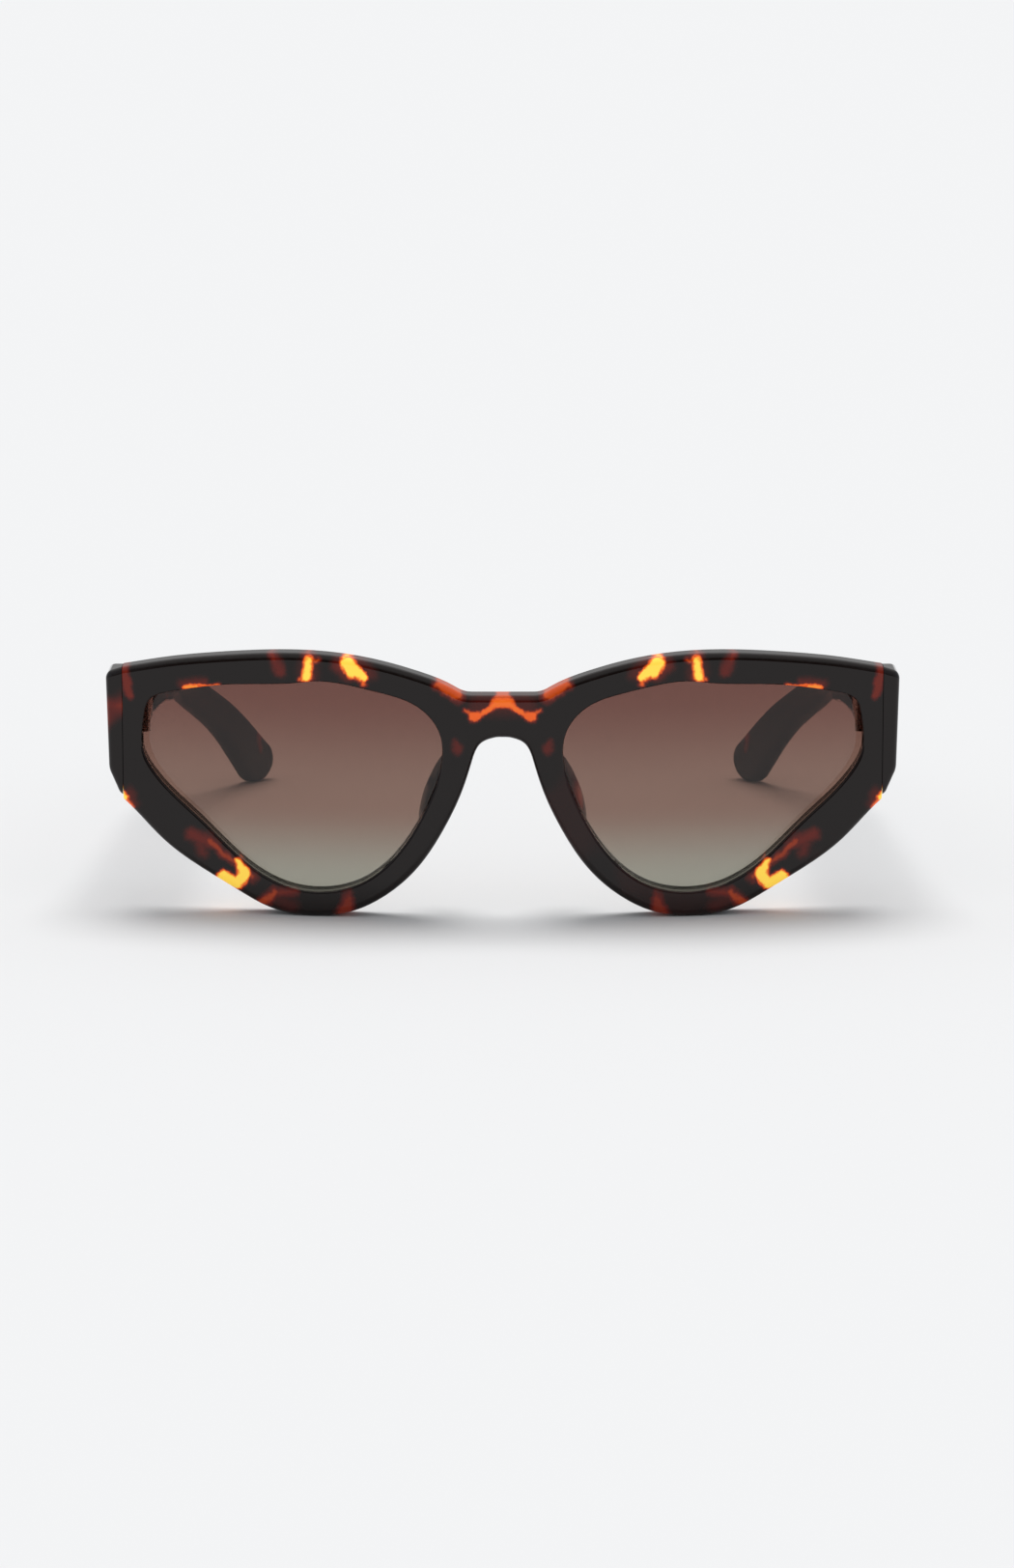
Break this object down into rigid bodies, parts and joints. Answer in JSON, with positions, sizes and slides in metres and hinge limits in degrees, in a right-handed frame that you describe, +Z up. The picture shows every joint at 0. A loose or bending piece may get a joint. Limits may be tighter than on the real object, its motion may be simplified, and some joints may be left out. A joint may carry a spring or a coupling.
{
  "type": "cat eye sunglasses",
  "caption": "Thick tortoiseshell acetate cat eye sunglasses with gradient lenses and folding temples on barrel hinges.",
  "frame": {"origin": "middle of the base of the whole object, on the surface that it stands on", "axes": "the front faces -Y, the temples run towards +Y, +Z is up, and +X is the left of the wearer"},
  "size_m": [0.1436, 0.1414, 0.048],
  "materials": {
    "tortoise_acetate": "polished dark tortoiseshell acetate with amber and red patches",
    "gradient_lens": "gradient tint, red brown above to grey green below",
    "hinge_steel": "satin nickel silver",
    "screw_steel": "bright turned steel",
    "rivet_steel": "satin nickel silver",
    "core_wire_steel": "plain nickel silver",
    "nylon": "natural nylon"
  },
  "bodies": {
    "front": {"front_frame": "tortoise_acetate", "lens_left": "gradient_lens", "lens_right": "gradient_lens", "nose_pad_left": "tortoise_acetate", "nose_pad_right": "tortoise_acetate", "front_hinge_left": "hinge_steel", "front_hinge_right": "hinge_steel", "hinge_screw_left": "screw_steel", "hinge_screw_right": "screw_steel", "hinge_washers_left": "nylon", "hinge_washers_right": "nylon", "front_rivets_left": "rivet_steel", "front_rivets_right": "rivet_steel"},
    "temple_arm_left": {"temple_left": "tortoise_acetate", "core_wire_left": "core_wire_steel", "temple_hinge_left": "hinge_steel", "temple_rivets_left": "rivet_steel"},
    "temple_arm_right": {"temple_right": "tortoise_acetate", "core_wire_right": "core_wire_steel", "temple_hinge_right": "hinge_steel", "temple_rivets_right": "rivet_steel"}
  },
  "joints": [
    {"name": "fold_left", "type": "hinge", "parent": "front", "child": "temple_arm_left", "pos_m": [0.0652, -0.0541, 0.0367], "axis": [0, 0, 1], "range_deg": [0, 84]},
    {"name": "fold_right", "type": "hinge", "parent": "front", "child": "temple_arm_right", "pos_m": [-0.0652, -0.0541, 0.0367], "axis": [0, 0, -1], "range_deg": [0, 68]}
  ]
}
